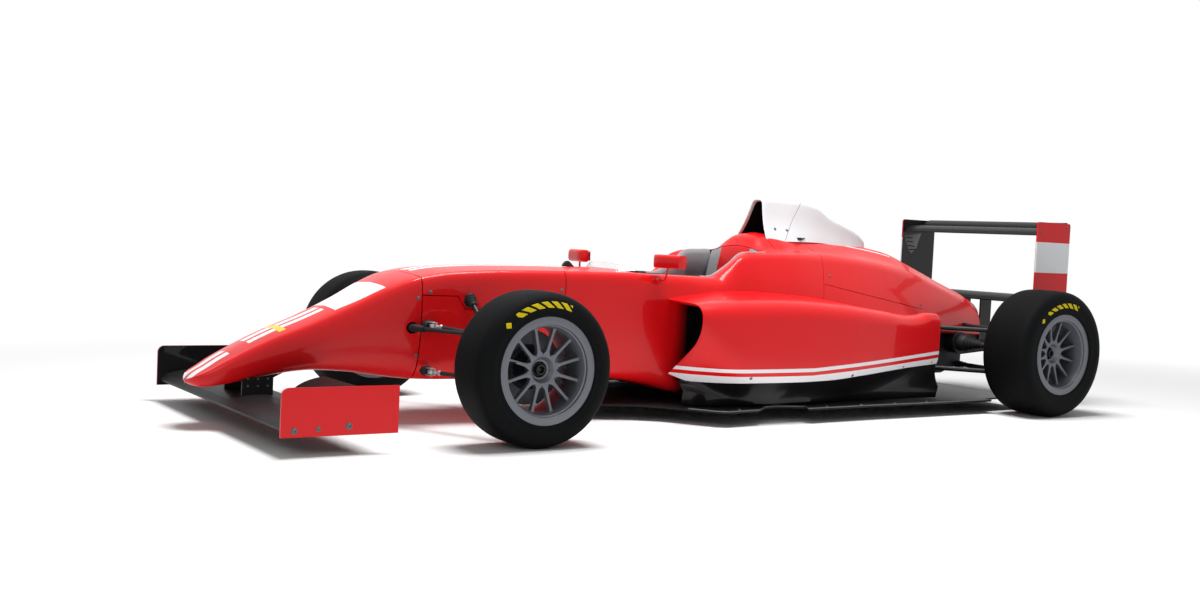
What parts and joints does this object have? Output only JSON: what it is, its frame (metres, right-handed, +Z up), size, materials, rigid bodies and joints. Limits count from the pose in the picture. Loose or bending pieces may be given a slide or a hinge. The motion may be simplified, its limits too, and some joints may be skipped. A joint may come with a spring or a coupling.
{
  "type": "open wheel single-seat racing car",
  "caption": "Open wheel single-seat racing car with front and rear wings, sidepods, roll hoop fairing, turning wheels and linked steering.",
  "frame": {"origin": "on the ground under the middle of the car", "axes": "+X forward towards the nose, +Y to the driver's left, +Z up"},
  "size_m": [4.151, 1.599, 0.9279],
  "materials": {
    "red_paint": "glossy red lacquer",
    "white_paint": "glossy white lacquer",
    "carbon": "black laminate",
    "black_metal": "satin black",
    "cast_alloy": "grey casting",
    "seat_pad": "black cloth",
    "clear_screen": "clear",
    "radiator": "finned core",
    "steel": "brushed",
    "black_plastic": "matte",
    "tyre": "slick rubber",
    "rim": "satin grey",
    "brake_steel": "machined"
  },
  "bodies": {
    "chassis": {"monocoque": "red_paint", "nose_cone": "red_paint", "damper_hatch": "red_paint", "front_wing_planes": "carbon", "front_wing_endplates": "red_paint", "nose_pylons": "carbon", "left_sidepod": "red_paint", "right_sidepod": "red_paint", "engine_cover": "red_paint", "roll_hoop_fairing": "white_paint", "headrest": "red_paint", "floor": "carbon", "rear_wing_planes": "carbon", "rear_wing_endplates": "red_paint", "rear_wing_struts": "black_metal", "rear_crash_structure": "carbon", "gearbox": "cast_alloy", "engine": "cast_alloy", "seat": "seat_pad", "windscreen": "clear_screen", "mirrors": "red_paint", "front_wishbones": "black_metal", "rear_wishbones": "black_metal", "pushrods": "black_metal", "rear_uprights": "cast_alloy", "radiators": "radiator", "dash_panel": "carbon", "steering_mounts": "cast_alloy", "exhaust_pipe": "steel"},
    "front_left_knuckle": {"front_left_upright": "cast_alloy"},
    "front_right_knuckle": {"front_right_upright": "cast_alloy"},
    "rack": {"steering_rack": "steel"},
    "helm": {"steering_wheel": "black_plastic"},
    "front_left_wheel": {"front_left_tyre": "tyre", "front_left_rim": "rim", "front_left_hub": "brake_steel"},
    "front_right_wheel": {"front_right_tyre": "tyre", "front_right_rim": "rim", "front_right_hub": "brake_steel"},
    "rear_left_wheel": {"rear_left_tyre": "tyre", "rear_left_rim": "rim", "rear_left_hub": "brake_steel"},
    "rear_right_wheel": {"rear_right_tyre": "tyre", "rear_right_rim": "rim", "rear_right_hub": "brake_steel"}
  },
  "joints": [
    {"name": "steer_left", "type": "hinge", "parent": "chassis", "child": "front_left_knuckle", "pos_m": [1.105, 0.6, 0.265], "axis": [0, 0, 1], "range_deg": [-18, 18]},
    {"name": "steer_right", "type": "hinge", "parent": "chassis", "child": "front_right_knuckle", "pos_m": [1.105, -0.6, 0.265], "axis": [0, 0, 1], "range_deg": [-18.2, 18.2]},
    {"name": "rack_slide", "type": "slide", "parent": "chassis", "child": "rack", "axis": [0, 1, 0], "range_m": [-0.0225, 0.0225]},
    {"name": "helm_turn", "type": "hinge", "parent": "chassis", "child": "helm", "pos_m": [0.27, 0, 0.455], "axis": [-0.9781, 0, 0.2079], "range_deg": [-182, 182]},
    {"name": "front_left_spin", "type": "hinge", "parent": "front_left_knuckle", "child": "front_left_wheel", "pos_m": [1.105, 0.692, 0.265], "axis": [0, 1, 0], "continuous": true},
    {"name": "front_right_spin", "type": "hinge", "parent": "front_right_knuckle", "child": "front_right_wheel", "pos_m": [1.105, -0.692, 0.265], "axis": [0, 1, 0], "continuous": true},
    {"name": "rear_left_spin", "type": "hinge", "parent": "chassis", "child": "rear_left_wheel", "pos_m": [-1.645, 0.642, 0.287], "axis": [0, 1, 0], "continuous": true},
    {"name": "rear_right_spin", "type": "hinge", "parent": "chassis", "child": "rear_right_wheel", "pos_m": [-1.645, -0.642, 0.287], "axis": [0, 1, 0], "continuous": true}
  ],
  "couplings": [
    {"joint": "steer_right", "follows": "steer_left", "ratio": 1},
    {"joint": "rack_slide", "follows": "steer_left", "m_per_rad": 0.07},
    {"joint": "helm_turn", "follows": "steer_left", "ratio": 10}
  ]
}
